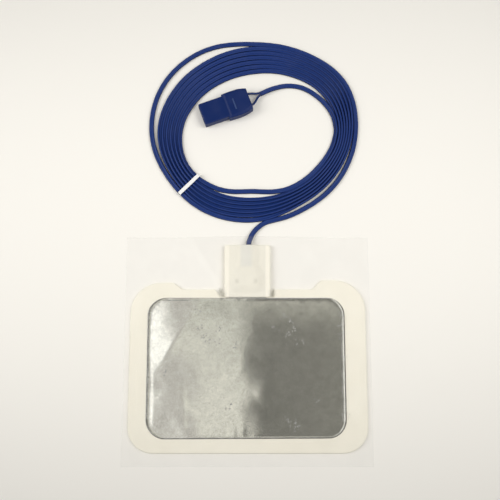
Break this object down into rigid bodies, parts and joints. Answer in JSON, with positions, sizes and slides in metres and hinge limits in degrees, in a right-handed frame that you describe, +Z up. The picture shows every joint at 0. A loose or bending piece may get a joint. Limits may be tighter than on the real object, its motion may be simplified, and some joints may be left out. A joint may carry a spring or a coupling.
{
  "type": "electrosurgical return electrode",
  "caption": "Single-plate patient return electrode: foam pad with gel-covered foil, crimped tab, clear release film, coiled flat twin cord, tie band and moulded plug.",
  "frame": {"origin": "on the underside of the foam backing, below the middle of the foil plate", "axes": "+X to the right across the pad, +Y from the pad along its tab towards the cord and coil, +Z up from the table to the sticky side"},
  "size_m": [0.174, 0.311, 0.0093],
  "materials": {
    "foam": "cream closed-cell foam",
    "foil": "wrinkled bright foil",
    "gel": "clear glossy gel",
    "release_film": "clear glossy film",
    "cord_blue": "satin dark blue insulation",
    "tie_white": "plain white band",
    "plug_blue": "dark blue moulded plastic",
    "contact_brass": "turned brass",
    "crimp_metal": "tinned brass sheet"
  },
  "bodies": {
    "root": {"backing_foam": "foam", "foil_plate": "foil", "gel_layer": "gel", "release_liner": "release_film", "tab_cover_foam": "foam", "tab_core_left": "cord_blue", "tab_core_right": "cord_blue", "tab_crimp_left": "crimp_metal", "tab_crimp_right": "crimp_metal", "cord_lead": "cord_blue", "cord_coil": "cord_blue", "cord_tail": "cord_blue", "coil_tie": "tie_white", "plug_lower_shell": "plug_blue", "plug_upper_shell": "plug_blue", "plug_contact_left": "contact_brass", "plug_contact_right": "contact_brass", "plug_core_left": "cord_blue", "plug_core_right": "cord_blue"}
  },
  "joints": []
}
